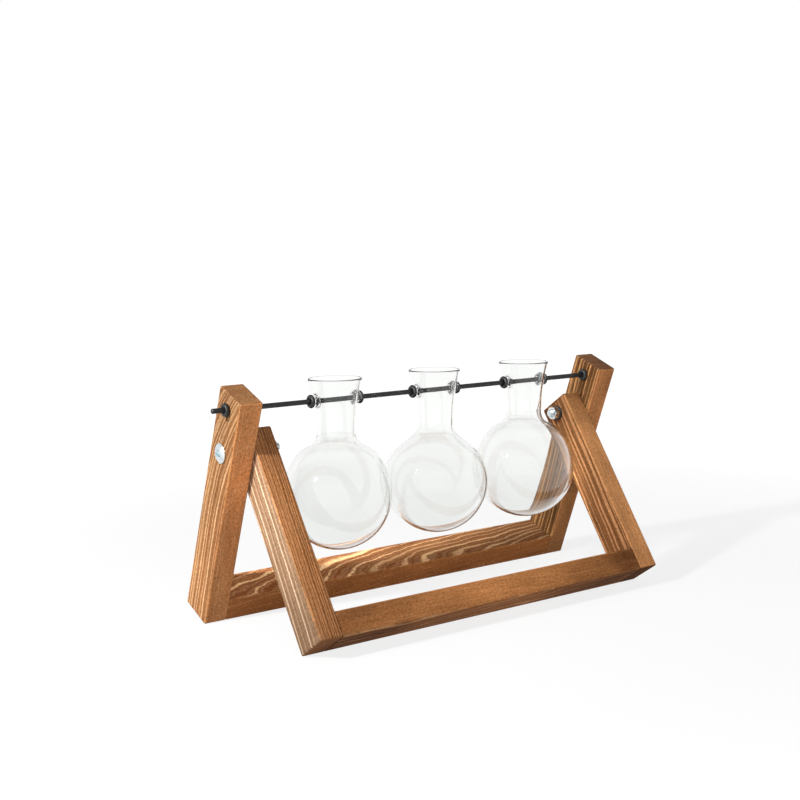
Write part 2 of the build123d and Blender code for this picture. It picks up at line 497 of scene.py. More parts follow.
class MaterialSheet(NodeSheet):
    """The nodes of a material with one Principled shader, on the piece's own coordinates."""

    def __init__(self, name: str) -> None:
        """Makes the material, its shader and its output.

        Args:
            name: the material's name.
        """
        self.material = bpy.data.materials.new(name)
        self.material.use_nodes = True
        self.material.node_tree.nodes.clear()
        super().__init__(self.material.node_tree)
        self.shader = self.add("ShaderNodeBsdfPrincipled")
        self.output = self.add("ShaderNodeOutputMaterial")
        self.feed(self.output.inputs["Surface"], self.shader.outputs[0])
        self.own = self.add("ShaderNodeTexCoord").outputs["Object"]

    def marks(self, scale: float, seed: float) -> dict[str, Socket]:
        """Places the handling marks and gives their outputs."""
        return self.group(Effects.marks, vector=self.own, scale=scale, seed=seed)

    def dress(self, colour: object, roughness: object, height: Socket, depth: float) -> Material:
        """Feeds the shader.

        Args:
            colour: its base colour.
            roughness: its roughness.
            height: its relief, from 0 to 1.
            depth: the relief's full height in metres.

        Returns:
            The material.
        """
        bump = self.fill(self.add("ShaderNodeBump"), {"Distance": depth, "Height": height})
        surface = {"Base Color": colour, "Roughness": roughness, "Normal": bump.outputs[0]}
        self.fill(self.shader, surface)
        return self.material


@dataclass(frozen=True)
class Board:
    """How one length of timber lay in its log, how dark the flame left it, and the light and shade painted
    on it.

    Its own axes run across its narrow side, through its broad side and along its length.
    A pair of tones or chars is for its foot and its head, or a rail's left and right end. The tones hold
    painted light and shade besides the wood's own tone, and the end chars hold painted shade besides
    scorch.
    """

    seed: float
    pith: Pair
    ring_width: float
    wander: float
    tilt: Pair = (0.0, 0.0)
    bend: float = 0.0
    bend_from: float = 0.0
    line_share: float = 0.3
    softness: float = 0.2
    valley: str = "6B3F20"
    ridge: str = "C29A70"
    plain: str = "A0683C"
    end_grain: str = "96643A"
    narrow_lines: float = 0.12
    needles: float = 0.15
    # How pale the long arrises are: partly wear, partly a painted highlight.
    rub: float = 0.4
    cloud_char: float = 0.3
    # How dark the ends are: partly scorch, partly painted shade, as where the long left leg shades the
    # short left leg's head.
    end_char: Pair = (0.15, 0.15)
    char_reach: float = 42.0 * MM
    # The broad and narrow tones are partly the wood's own and partly painted light and shade, as at the
    # rear rail, painted lighter at its left end where the long left leg shades its top.
    broad_tone: Pair = (1.0, 1.0)
    narrow_tone: Pair = (1.0, 1.0)
    depth_tone: Pair = (1.0, 1.0)


REAR_BOARDS = {
    "long_leg_left": Board(
        seed=1.0, pith=(9 * MM, -60 * MM), ring_width=3.2 * MM, wander=3 * MM, tilt=(0.0, 0.02), bend=-3.2,
        bend_from=-5 * MM, line_share=0.5, softness=0.06, valley="88522B", ridge="E0B282", plain="C58453",
        end_grain="AD794F", rub=0.6, cloud_char=0.25, end_char=(0.05, 0.1), broad_tone=(0.9, 0.67),
        narrow_tone=(0.93, 1.16),
    ),
    "long_leg_right": Board(
        seed=2.0, pith=(-14 * MM, -60 * MM), ring_width=3.3 * MM, wander=4 * MM, tilt=(0.0, 0.03),
        line_share=0.36, softness=0.08, valley="341A08", ridge="B58556", plain="C68655", end_grain="72503A",
        narrow_lines=0.3, rub=0.3, narrow_tone=(0.78, 1.12),
    ),
    "rear_rail": Board(
        seed=3.0, pith=(17.5 * MM, -17 * MM), ring_width=3.4 * MM, wander=9 * MM, tilt=(-0.15, 0.0),
        softness=0.12, valley="80401A", ridge="FFCC94", plain="AC6B3C", narrow_lines=0.08, rub=0.12,
        depth_tone=(0.9, 1.3), broad_tone=(1.6, 0.46),
    ),
}
FRONT_BOARDS = {
    "short_leg_left": Board(
        seed=4.0, pith=(6 * MM, 70 * MM), ring_width=5.2 * MM, wander=3 * MM, tilt=(0.0, -0.04),
        line_share=0.34, valley="7C5434", ridge="E2C4A4", plain="B0784C", end_grain="C07C4C", needles=1.0,
        rub=0.35, end_char=(0.3, 0.45), char_reach=60 * MM, broad_tone=(0.73, 1.24),
        narrow_tone=(0.84, 1.1),
    ),
    "short_leg_right": Board(
        seed=5.0, pith=(8 * MM, 64 * MM), ring_width=4.2 * MM, wander=4 * MM, tilt=(0.0, -0.03),
        line_share=0.28, softness=0.1, valley="4A280F", ridge="C08A5E", plain="B78052", end_grain="5C381C",
        rub=0.35, end_char=(0.1, 0.48), broad_tone=(0.95, 1.0),
    ),
    "front_rail": Board(
        seed=6.0, pith=(40 * MM, -30 * MM), ring_width=4 * MM, wander=12 * MM, tilt=(0.1, 0.03),
        valley="8E4E26", ridge="F4B882", plain="A76F42", narrow_lines=0.08, rub=0.3, end_char=(0.6, 0.56),
        char_reach=125 * MM,
    ),
}


@dataclass(frozen=True)
class ScorchedPine:
    """Flame-darkened pine, brushed so that the late wood stands out pale, and oiled."""

    # The char colour, also used for painted shade towards the ends.
    charred: str = "3C1E10"
    # The pale arris colour: partly wear, partly a painted highlight.
    rubbed: str = "C48A58"
    edge_width: float = 1.3 * MM
    relief: float = 0.16 * MM
    fibre_relief: float = 0.45
    sheen: float = 0.02
    gloss: Pair = (0.62, 0.82)
    early_tones: Pair = (0.6, 1.3)
    fine_lines: float = 0.16
    end_cover: float = 0.85
    end_lines: float = 0.25
    needle: str = "5A3216"
    needle_pith: tuple[float, float, float] = (90 * MM, 30 * MM, 0.0)
    needle_width: float = 1.4 * MM
    needle_share: float = 0.42
    needle_wander: float = 2.5 * MM
    needle_seed: float = 20.0
    broad_needles: float = 0.15
    cloud: Grain = Grain(36.0, stretch=0.45, detail=4.0)
    cloud_seed: float = 3.0
    clouds: Pair = (0.4, 0.85)
    end_clouds: Pair = (0.3, 1.6)
    streaks: Pair = (0.6, 1.4)
    speck: Grain = Grain(950.0, stretch=0.6, rough=0.7)
    specks: Pair = (0.1, 1.9)
    drift: Grain = Grain(70.0, stretch=0.4, detail=3.0)
    drift_seed: float = 8.0
    drifts: Pair = (0.6, 1.4)


class TimberSheet(MaterialSheet):
    """The material of one length of timber, worked out in the timber's own axes."""

    def __init__(self, name: str, finish: ScorchedPine, board: Board, local: Matrix, half: Vector) -> None:
        """Starts the material.

        Args:
            name: its name.
            finish: the finish that all the timber shares.
            board: how the timber was cut and scorched.
            local: turns the model's axes into the timber's own.
            half: half the timber's size in its own axes.
        """
        super().__init__(name)
        self.finish, self.board, self.half = finish, board, half
        turn = {"Location": local.to_translation(), "Rotation": local.to_euler(), "Vector": self.own}
        self.place = self.fill(self.add("ShaderNodeMapping"), turn).outputs[0]
        self.rings = self.group(
            Effects.rings, vector=self.place, pith=(*board.pith, 0), tilt=(*board.tilt, 0), bend=board.bend,
            bend_from=board.bend_from, ring_width=board.ring_width, line_share=board.line_share,
            wander=board.wander, seed=board.seed,
        )
        self.edges = self.group(
            Effects.edges, vector=self.place, half_size=half, width=finish.edge_width, seed=board.seed
        )
        self.broad = self.edges["Broad Side"]

    def build(self) -> Material:
        """Works out the finish.

        Returns:
            The material.
        """
        finish, fibre, line = self.finish, self.rings["Fibre"], self.lines()
        colour = self.blend(line, self.ground(), paint(self.board.ridge))
        # Scorch, and painted shade towards the ends.
        colour = self.blend(self.char_mask(), colour, paint(finish.charred))
        # Pale arrises: partly wear, partly a painted highlight.
        rub = self.times(self.edges["Edge"], self.board.rub)
        colour = self.blend(rub, colour, paint(finish.rubbed))
        height = self.times(line, 1.0 - finish.fibre_relief)
        height = self.math("MULTIPLY_ADD", fibre, finish.fibre_relief, height)
        roughness = self.span(self.minus(fibre, line), *finish.gloss)
        self.shader.inputs["Specular IOR Level"].default_value = finish.sheen
        return self.dress(self.mottled(colour), roughness, height, finish.relief)

    def ground(self) -> Socket:
        """Works out the colour between the pale lines.

        Returns:
            The colour.
        """
        board, finish = self.board, self.finish
        early = self.minus(1.0, self.rings["Across"])
        early = self.times(early, self.span(self.rings["Tone"], *finish.early_tones))
        soft = self.blend(board.softness, paint(board.valley), paint(board.ridge))
        ground = self.blend(self.broad, paint(board.plain), self.blend(early, soft, paint(board.valley)))
        cover = self.times(self.edges["End Grain"], finish.end_cover)
        ground = self.blend(cover, ground, paint(board.end_grain))
        return self.blend(self.needles(), ground, paint(finish.needle))

    def lines(self) -> Socket:
        """Finds the pale late wood, which is faint on narrow sides and ends.

        Returns:
            A mask of it.
        """
        fine = self.times(self.rings["Fine"], self.finish.fine_lines)
        line = self.math("MAXIMUM", self.rings["Late Wood"], fine)
        on_side = self.span(self.broad, self.board.narrow_lines, 1.0)
        return self.times(line, on_side, self.span(self.edges["End Grain"], 1.0, self.finish.end_lines))

    def needles(self) -> Socket:
        """Draws the fine dark lines of slow growth, most of them on narrow sides.

        Returns:
            A mask of them.
        """
        finish, strength = self.finish, self.board.needles
        fine = self.group(
            Effects.rings, vector=self.place, pith=finish.needle_pith, ring_width=finish.needle_width,
            line_share=finish.needle_share, wander=finish.needle_wander,
            seed=self.board.seed + finish.needle_seed,
        )
        on_side = self.span(self.broad, strength, finish.broad_needles * strength)
        return self.times(fine["Late Wood"], on_side)

    def char_mask(self) -> Socket:
        """Finds where the flame lingered, in clouds and towards the ends, where the darkening is partly
        painted shade.

        Returns:
            A mask of it.
        """
        finish, board, length = self.finish, self.board, self.half.z
        cloud = finish.cloud.draw(self, self.place, board.seed + finish.cloud_seed)
        mask = self.times(self.step(cloud, *finish.clouds), board.cloud_char)
        along = self.parts(self.place)[2]
        # Darker towards each end: partly scorch, partly painted shade.
        for way, strength in zip((-1.0, 1.0), board.end_char):
            near = self.step(self.times(along, way), length - board.char_reach, length)
            uneven = self.times(near, self.span(cloud, *finish.end_clouds))
            mask = self.math("MULTIPLY_ADD", uneven, strength, mask)
        return mask

    def tone(self) -> Socket:
        """Works out how the timber's tone drifts along it and through its depth; along it the drift is
        partly painted light and shade.

        Returns:
            A factor for its colour.
        """
        board = self.board
        _, through, along = self.parts(self.place)
        height = self.step(along, -self.half.z, self.half.z)
        # Along the timber these tones are partly painted light and shade.
        narrow = self.span(height, *board.narrow_tone)
        wide = self.span(height, *board.broad_tone)
        depth = self.span(self.step(through, -self.half.y, self.half.y), *board.depth_tone)
        return self.times(self.math("MULTIPLY_ADD", self.minus(wide, narrow), self.broad, narrow), depth)

    def mottled(self, colour: Socket) -> Socket:
        """Breaks a colour up with fibres, specks and slow changes of tone.

        Args:
            colour: the even colour.

        Returns:
            The broken colour.
        """
        finish, seed = self.finish, self.board.seed
        streaks = self.span(self.rings["Fibre"], *finish.streaks)
        specks = self.span(finish.speck.draw(self, self.place, seed), *finish.specks)
        drifts = self.span(finish.drift.draw(self, self.place, seed + finish.drift_seed), *finish.drifts)
        shade = self.times(self.times(streaks, specks), self.times(drifts, self.tone()))
        grey = self.fill(self.add("ShaderNodeCombineColor"), {0: shade, 1: shade, 2: shade})
        return self.blend(1.0, colour, grey.outputs[0], "MULTIPLY")


@dataclass(frozen=True)
class PlainBirch:
    """Pale turned dowel stock."""

    pale: str = "D9B98C"
    dark: str = "B98F5E"
    fibre: Grain = Grain(1500.0, stretch=0.05, axis="X", detail=3.0)
    gloss: Pair = (0.55, 0.75)
    relief: float = 0.05 * MM

    def material(self, name: str) -> Material:
        """Makes the finish.

        Args:
            name: the material's name.

        Returns:
            The material.
        """
        sheet = MaterialSheet(name)
        fibre = self.fibre.draw(sheet, sheet.own)
        colour = sheet.blend(fibre, paint(self.pale), paint(self.dark))
        return sheet.dress(colour, sheet.span(fibre, *self.gloss), fibre, self.relief)


@dataclass(frozen=True)
class BlownGlass:
    """Clear blown glass, a little wavy, that lets lamps through to what stands behind it."""

    tint: str = "FAFBFA"
    through: str = "F6F7F6"
    index: float = 1.45
    mark_scale: float = 60.0
    gloss: Pair = (0.0, 0.015)
    swirl: Grain = Grain(45.0, stretch=0.5, detail=1.0)
    relief: float = 0.03 * MM
    seed: float = 0.0

    def material(self, name: str) -> Material:
        """Makes the finish.

        Args:
            name: the material's name.

        Returns:
            The material.
        """
        sheet = MaterialSheet(name)
        smear = sheet.marks(self.mark_scale, self.seed)["Smear"]
        swirl = self.swirl.draw(sheet, sheet.own, self.seed)
        sheet.fill(sheet.shader, {"Transmission Weight": 1.0, "IOR": self.index})
        clear = sheet.fill(sheet.add("ShaderNodeBsdfTransparent"), {"Color": paint(self.through)})
        shadow = sheet.add("ShaderNodeLightPath").outputs["Is Shadow Ray"]
        mix = sheet.add("ShaderNodeMixShader")
        sheet.fill(mix, {0: shadow, 1: sheet.shader.outputs[0], 2: clear.outputs[0]})
        sheet.feed(sheet.output.inputs["Surface"], mix.outputs[0])
        return sheet.dress(paint(self.tint), sheet.span(smear, *self.gloss), swirl, self.relief)


@dataclass(frozen=True)
class SatinBlack:
    """Baked black enamel on a drawn wire."""

    body: str = "111112"
    worn: str = "29292A"
    wear: float = 0.7
    mark_scale: float = 180.0
    seed: float = 4.0
    drawn: Grain = Grain(2400.0, stretch=0.04, axis="X")
    gloss: Pair = (0.42, 0.58)
    relief: float = 0.02 * MM

    def material(self, name: str) -> Material:
        """Makes the finish.

        Args:
            name: the material's name.

        Returns:
            The material.
        """
        sheet = MaterialSheet(name)
        marks = sheet.marks(self.mark_scale, self.seed)
        colour = sheet.blend(sheet.times(marks["Speck"], self.wear), paint(self.body), paint(self.worn))
        drawn = self.drawn.draw(sheet, sheet.own)
        return sheet.dress(colour, sheet.span(marks["Smear"], *self.gloss), drawn, self.relief)


@dataclass(frozen=True)
class MouldedBlack:
    """Black rubber or nylon from a mould, dull with a faint bloom."""

    body: str
    bloom: str
    gloss: Pair
    bloom_cover: float = 0.5
    mark_scale: float = 420.0
    seed: float = 7.0
    grain: Grain = Grain(5000.0)
    relief: float = 0.02 * MM

    def material(self, name: str) -> Material:
        """Makes the finish.

        Args:
            name: the material's name.

        Returns:
            The material.
        """
        sheet = MaterialSheet(name)
        smear = sheet.marks(self.mark_scale, self.seed)["Smear"]
        colour = sheet.blend(sheet.times(smear, self.bloom_cover), paint(self.body), paint(self.bloom))
        grain = self.grain.draw(sheet, sheet.own)
        return sheet.dress(colour, sheet.span(smear, *self.gloss), grain, self.relief)


@dataclass(frozen=True)
class BrightZinc:
    """Zinc plate with a faint blue passivation and a spangle; inside a bolt's recess it is painted darker
    and bluer, as painted shade.
    """

    silver: str = "E4E7E8"
    blue: str = "C3CFD6"
    # The recess colour is painted shade.
    recess: str = "C6DCE2"
    recess_depths: Pair = (0.14 * MM, 0.4 * MM)
    seat_fade: float = 0.1 * MM
    mark_scale: float = 330.0
    seed: float = 11.0
    grain: Grain = Grain(1800.0)
    gloss: Pair = (0.2, 0.38)
    relief: float = 0.02 * MM

    def material(self, name: str, side: Side, seat: float, centre: Vector, dome: float) -> Material:
        """Makes the finish.

        Args:
            name: the material's name.
            side: which end of the stand the head is on.
            seat: how far out the head begins.
            centre: the middle of the sphere that the head's domed face lies on.
            dome: the radius of that sphere.

        Returns:
            The material.
        """
        sheet = MaterialSheet(name)
        smear = sheet.marks(self.mark_scale, self.seed)["Smear"]
        colour = sheet.blend(smear, paint(self.silver), paint(self.blue))
        reach = sheet.length(sheet.vector("SUBTRACT", sheet.own, centre))
        # Painted shade: where the dome is sunk for the cross, the plate takes the recess colour.
        painted_recess_shade = sheet.step(reach, *(dome - depth for depth in self.recess_depths))
        outwards = sheet.times(sheet.parts(sheet.own)[0], side.value)
        on_head = sheet.step(outwards, seat, seat + self.seat_fade)
        colour = sheet.blend(sheet.times(painted_recess_shade, on_head), colour, paint(self.recess))
        sheet.shader.inputs["Metallic"].default_value = 1.0
        grain = self.grain.draw(sheet, sheet.own)
        return sheet.dress(colour, sheet.span(smear, *self.gloss), grain, self.relief)


def set_material(piece: bpy.types.Object, material: Material) -> None:
    """Gives a piece one material."""
    piece.data.materials.clear()
    piece.data.materials.append(material)


def arc(centre: Pair, radius: float, start: float, end: float, count: int) -> list[Pair]:
    """Points of an arc in a profile plane.

    Args:
        centre: the arc's centre, out from the axis and along it.
        radius: the arc's radius.
        start: the first point's angle from the outward direction.
        end: the last point's angle.
        count: how many steps the arc has.

    Returns:
        The points, ends included.
    """
    angles = [start + (end - start) * i / count for i in range(count + 1)]
    return [(centre[0] + radius * math.cos(a), centre[1] + radius * math.sin(a)) for a in angles]


def cut_away(mesh: Mesh, place: Vector, outwards: Vector) -> list[object]:
    """Cuts off what lies outside a plane.

    Args:
        mesh: what is cut.
        place: a point of the plane.
        outwards: the plane's normal, towards what is cut off.

    Returns:
        The points and edges of the cut.
    """
    parts = mesh.verts[:] + mesh.edges[:] + mesh.faces[:]
    made = bmesh.ops.bisect_plane(mesh, geom=parts, plane_co=place, plane_no=outwards, clear_outer=True)
    return made["geom_cut"]


def lathe(profile: list[Pair], steps: int, closed: bool = False) -> Mesh:
    """Turns a profile round the Z axis.

    Args:
        profile: points out from the axis and along it.
        steps: how many segments the full turn has.
        closed: whether the profile's last point joins its first.

    Returns:
        The turned surface.
    """
    mesh = bmesh.new()
    verts = [mesh.verts.new((out, 0, up)) for out, up in profile]
    pairs = list(zip(verts, verts[1:])) + ([(verts[-1], verts[0])] if closed else [])
    edges = [mesh.edges.new(pair) for pair in pairs]
    bmesh.ops.spin(
        mesh, geom=verts + edges, cent=ORIGIN, axis=UP, angle=FULL_TURN, steps=steps, use_merge=True
    )
    bmesh.ops.remove_doubles(mesh, verts=mesh.verts, dist=MERGE_DISTANCE)
    return mesh


def finish_piece(mesh: Mesh, name: str, material: Material, crease: float = 40.0) -> bpy.types.Object:
    """Closes a mesh, turns its faces outwards and makes an object of it.

    Args:
        mesh: the finished shape, in its place.
        name: the piece's name.
        material: its finish.
        crease: edges sharper than this many degrees stay sharp.

    Returns:
        The new object, at the origin.
    """
    bmesh.ops.remove_doubles(mesh, verts=mesh.verts, dist=MERGE_DISTANCE)
    bmesh.ops.recalc_face_normals(mesh, faces=mesh.faces)
    for face in mesh.faces:
        face.smooth = True
    data = bpy.data.meshes.new(name)
    mesh.to_mesh(data)
    mesh.free()
    data.set_sharp_from_angle(angle=math.radians(crease))
    piece = bpy.data.objects.new(name, data)
    bpy.context.scene.collection.objects.link(piece)
    set_material(piece, material)
    return piece


def along_rod(side: Side, lean: float, place: Vector) -> Matrix:
    """The matrix that points a shape drawn up the Z axis outwards along the rod, at a place."""
    turn = Matrix.Rotation(side.value * math.pi / 2, 4, "Y")
    return Matrix.Translation(place) @ Matrix.Rotation(lean, 4, "X") @ turn


@dataclass
class TimberFrame:
    """Two legs with a rail between their feet, cut from one size of timber."""

    lean: float
    rail: str
    boards: dict[str, Board]
    finish: ScorchedPine = ScorchedPine()

    def local_axes(self, node: str) -> tuple[Matrix, Vector]:
        """Finds a timber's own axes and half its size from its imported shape.

        Args:
            node: the timber's name.

        Returns:
            The matrix from the model's axes to the timber's own, and half its size.
        """
        turn = Matrix.Rotation(-self.lean, 4, "X")
        if node == self.rail:
            turn = Matrix.Rotation(-math.pi / 2, 4, "Y") @ turn
        points = [turn @ v.co for v in bpy.data.objects[node].data.vertices]
        low = Vector(min(p[i] for p in points) for i in range(3))
        high = Vector(max(p[i] for p in points) for i in range(3))
        return Matrix.Translation(-(low + high) / 2) @ turn, (high - low) / 2

    def dress(self) -> None:
        """Finishes the timbers and the dowels hidden in their joints."""
        for node, board in self.boards.items():
            local, half = self.local_axes(node)
            sheet = TimberSheet(f"scorched_pine_{node}", self.finish, board, local, half)
            set_material(bpy.data.objects[node], sheet.build())
            log.info("%s: scorched pine, %.0f mm long", node, 2 * half.z / MM)
        dowels = f"{self.rail}_dowels"
        set_material(bpy.data.objects[dowels], PlainBirch().material(f"birch_{dowels}"))
        log.info("%s: plain birch", dowels)


@dataclass
class PivotHardware:
    """A domed bolt with a cross recess, a washer and a nut, on one side of the stand.

    The thread's shares are where its root ends, its crest begins and ends, and its root
    begins again, in one pitch. The recess rises from its floor by a share of its depth.
    """

    side: Side
    pivot: Vector
    lean: float
    nylon: Material
    shank_radius: float = 2.5 * MM
    head_radius: float = 6.0 * MM
    head_height: float = 2.6 * MM
    head_rim: float = 0.55 * MM
    head_steps: int = 14
    recess_length: float = 7.0 * MM
    recess_width: float = 1.7 * MM
    recess_depth: float = 1.2 * MM
    recess_taper: float = 0.72
    recess_rise_share: float = 0.35
    thread_pitch: float = 0.8 * MM
    thread_depth: float = 0.46 * MM
    thread_shares: tuple[float, ...] = (0.0, 0.38, 0.5, 0.88)
    spare_turns: int = 2
    tip_chamfer: float = 0.55 * MM
    nut_bore: float = 2.56 * MM
    nut_chamfer: float = 0.45 * MM
    nut_sink: float = 0.4 * MM
    nut_flats: int = 6
    nut_steps: int = 96
    corner_round: float = 0.18 * MM
    crease: float = 32.0
    steps: int = 64

    def node(self, kind: str) -> str:
        """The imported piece's name."""
        return f"pivot_{kind}_{self.side.label}"

    def span(self, kind: str) -> Pair:
        """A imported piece's ends along the bolt, measured outwards from the stand's middle."""
        ends = [corner.x * self.side.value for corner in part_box(self.node(kind))]
        return min(ends), max(ends)

    def half_height(self, kind: str) -> float:
        """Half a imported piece's height."""
        low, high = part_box(self.node(kind))
        return (high.z - low.z) / 2

    def settle(self, mesh: Mesh, kind: str, material: Material) -> None:
        """Moves a shape drawn outwards along Z into its place, and finishes it.

        Args:
            mesh: the shape.
            kind: bolt, washer or nut.
            material: its finish.
        """
        place = Vector((0, self.pivot.y, self.pivot.z))
        bmesh.ops.transform(mesh, matrix=along_rod(self.side, self.lean, place), verts=mesh.verts)
        piece = finish_piece(mesh, f"{self.node(kind)}_turned", material, self.crease)
        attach(piece, "rear_frame")
        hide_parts(self.node(kind))
        log.info("%s: %d faces", piece.name, len(piece.data.polygons))

    @property
    def dome_radius(self) -> float:
        """Radius of the head's domed face."""
        dome = self.head_height - self.head_rim
        return (self.head_radius**2 + dome**2) / (2 * dome)

    def zinc(self) -> Material:
        """Makes the plating of the bolt and nut.

        Returns:
            The material.
        """
        seat = self.span("bolt")[1] - self.head_height
        out = self.side.value * (seat + self.head_height - self.dome_radius)
        centre = Vector((out, self.pivot.y, self.pivot.z))
        name = f"bright_zinc_{self.side.label}"
        return BrightZinc().material(name, self.side, seat, centre, self.dome_radius)

    def head_profile(self, seat: float) -> list[Pair]:
        """Draws the dome from its middle down to its rim, and the seat in to the shank.

        Args:
            seat: how far out the head begins.

        Returns:
            Points out from the bolt's axis and along it.
        """
        radius = self.dome_radius
        spread = math.asin(self.head_radius / radius)
        centre = (0.0, seat + self.head_height - radius)
        points = arc(centre, radius, math.pi / 2, math.pi / 2 - spread, self.head_steps)
        rim = [(self.head_radius, seat + self.corner_round), (self.head_radius - self.corner_round, seat)]
        return points + rim + [(self.shank_radius, seat)]

    def thread(self, mesh: Mesh, tip: float, end: float) -> None:
        """Winds the screw thread from the tip to the plain shank and leaves it open there.

        Args:
            mesh: the empty mesh that takes the thread.
            tip: the bolt's end along Z.
            end: where the thread runs out.
        """
        pitch, crest = self.thread_pitch, self.shank_radius
        root = crest - self.thread_depth
        turns = math.ceil((end - tip) / pitch) + self.spare_turns + 1
        start = tip - self.spare_turns * pitch
        shape = list(zip((root, crest, crest, root), self.thread_shares))
        points = [(out, start + (turn + up) * pitch) for turn in range(turns) for out, up in shape]
        verts = [mesh.verts.new((out, 0, up)) for out, up in points]
        edges = [mesh.edges.new(pair) for pair in zip(verts, verts[1:])]
        bmesh.ops.spin(
            mesh, geom=verts + edges, cent=ORIGIN, axis=UP, angle=FULL_TURN, steps=self.steps,
            dvec=(0, 0, pitch / self.steps), use_merge=False,
        )
        bmesh.ops.remove_doubles(mesh, verts=mesh.verts, dist=MERGE_DISTANCE)
        for height, outwards in ((tip, -1), (end, 1)):
            cut_away(mesh, Vector((0, 0, height)), Vector((0, 0, outwards)))
        for vert in mesh.verts:
            radius = math.hypot(vert.co.x, vert.co.y)
            limit = crest - self.tip_chamfer + max(vert.co.z - tip, 0.0)
            if radius > limit:
                vert.co.x *= limit / radius
                vert.co.y *= limit / radius
        open_edges = [e for e in mesh.edges if e.is_boundary]
        tip_edges = [e for e in open_edges if all(v.co.z < tip + pitch / 4 for v in e.verts)]
        bmesh.ops.holes_fill(mesh, edges=tip_edges)

    def cut_recess(self, mesh: Mesh, top: float) -> None:
        """Sinks the tapered cross into the dome.

        Args:
            mesh: the bolt.
            top: the dome's highest point along Z.
        """
        half_width, half_length = self.recess_width / 2, self.recess_length / 2
        dome = top - self.head_height + self.head_rim / 2
        for axis in (Vector((1, 0, 0)), Vector((0, 1, 0))):
            for offset in (-half_length, -half_width, half_width, half_length):
                faces = [f for f in mesh.faces if f.calc_center_median().z > dome]
                parts = {part for face in faces for part in (*face.verts, *face.edges, face)}
                bmesh.ops.bisect_plane(mesh, geom=list(parts), plane_co=axis * offset, plane_no=axis)

        def in_cross(point: Vector) -> bool:
            """Whether a point of the dome lies in the cross."""
            short_side, long_side = sorted((abs(point.x), abs(point.y)))
            return point.z > dome and long_side < half_length and short_side < half_width

        sunk = [f for f in mesh.faces if in_cross(f.calc_center_median())]
        made = bmesh.ops.extrude_face_region(mesh, geom=sunk)["geom"]
        bmesh.ops.delete(mesh, geom=sunk, context="FACES")
        floor = top - self.recess_depth
        for vert in (g for g in made if isinstance(g, Vert)):
            away = max(abs(vert.co.x), abs(vert.co.y)) / half_length
            vert.co.z = floor + self.recess_depth * self.recess_rise_share * away
            vert.co.x *= self.recess_taper
            vert.co.y *= self.recess_taper

    def bolt(self, zinc: Material) -> None:
        """Builds the bolt, its head outside the long leg.

        Args:
            zinc: its finish.
        """
        tip, outer = self.span("bolt")
        seat = outer - self.head_height
        thread_end = self.span("washer")[0] - self.corner_round
        mesh = bmesh.new()
        self.thread(mesh, tip, thread_end)
        open_edges = [e for e in mesh.edges if e.is_boundary]
        profile = self.head_profile(seat) + [(self.shank_radius, thread_end + self.corner_round)]
        head = lathe(profile, self.steps)
        data = bpy.data.meshes.new("head")
        head.to_mesh(data)
        head.free()
        known = set(mesh.verts)
        mesh.from_mesh(data)
        bpy.data.meshes.remove(data)
        ring = [e for e in mesh.edges if e.is_boundary and not known.intersection(e.verts)]
        bmesh.ops.bridge_loops(mesh, edges=open_edges + ring)
        self.cut_recess(mesh, outer)
        self.settle(mesh, "bolt", zinc)

    def nut(self, zinc: Material) -> None:
        """Builds the nut: a chamfered turning cut to its flats.

        Args:
            zinc: its finish.
        """
        inner, outer = self.span("nut")
        corner = self.half_height("nut") / math.cos(self.lean)
        flat = corner * math.cos(math.pi / self.nut_flats)
        bore, sink, chamfer = self.nut_bore, self.nut_sink, self.nut_chamfer
        profile = [
            (bore + sink, inner), (corner - chamfer, inner), (corner, inner + chamfer),
            (corner, outer - chamfer), (corner - chamfer, outer), (bore + sink, outer),
            (bore, outer - sink), (bore, inner + sink),
        ]
        mesh = lathe(profile, self.nut_steps, closed=True)
        for index in range(self.nut_flats):
            angle = FULL_TURN * (index + 0.5) / self.nut_flats
            away = Vector((math.cos(angle), math.sin(angle), 0))
            cut = cut_away(mesh, away * flat, away)
            bmesh.ops.holes_fill(mesh, edges=[g for g in cut if isinstance(g, Edge)])
        self.settle(mesh, "nut", zinc)

    def washer(self) -> None:
        """Builds the washer with softened rims."""
        inner, outer = self.span("washer")
        radius, soft = self.half_height("washer"), self.corner_round
        profile = [
            (self.nut_bore, inner), (radius - soft, inner), (radius, inner + soft), (radius, outer - soft),
            (radius - soft, outer), (self.nut_bore, outer),
        ]
        mesh = lathe(profile, self.steps, closed=True)
        self.settle(mesh, "washer", self.nylon)

    def build(self) -> None:
        """Builds the three pieces."""
        zinc = self.zinc()
        self.bolt(zinc)
        self.washer()
        self.nut(zinc)


@dataclass
class RubberRing:
    """A moulded ring round the rod, with the fine seam its mould leaves."""

    node: str
    body: str
    rubber: Material
    seam: float = 0.05 * MM
    seam_width: float = 0.16 * MM
    around: int = 72
    half_section: int = 14
    crease: float = 60.0

    def build(self) -> None:
        """Builds the ring in its packed place."""
        low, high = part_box(self.node)
        cord = (high.x - low.x) / 2
        middle = (high.z - low.z) / 2 - cord
        lip = math.asin(self.seam_width / 2 / cord)
        outer = arc((middle, 0), cord, lip, math.pi - lip, self.half_section)
        inner = arc((middle, 0), cord, math.pi + lip, FULL_TURN - lip, self.half_section)
        profile = outer + [(middle - cord - self.seam, 0)] + inner + [(middle + cord + self.seam, 0)]
        mesh = lathe(profile, self.around, closed=True)
        bmesh.ops.transform(mesh, matrix=along_rod(Side.RIGHT, 0.0, (low + high) / 2), verts=mesh.verts)
        piece = finish_piece(mesh, f"{self.node}_moulded", self.rubber, self.crease)
        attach(piece, self.body)
        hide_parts(self.node)
        log.info("%s: rubber ring of %.1f mm cord", piece.name, 2 * cord / MM)


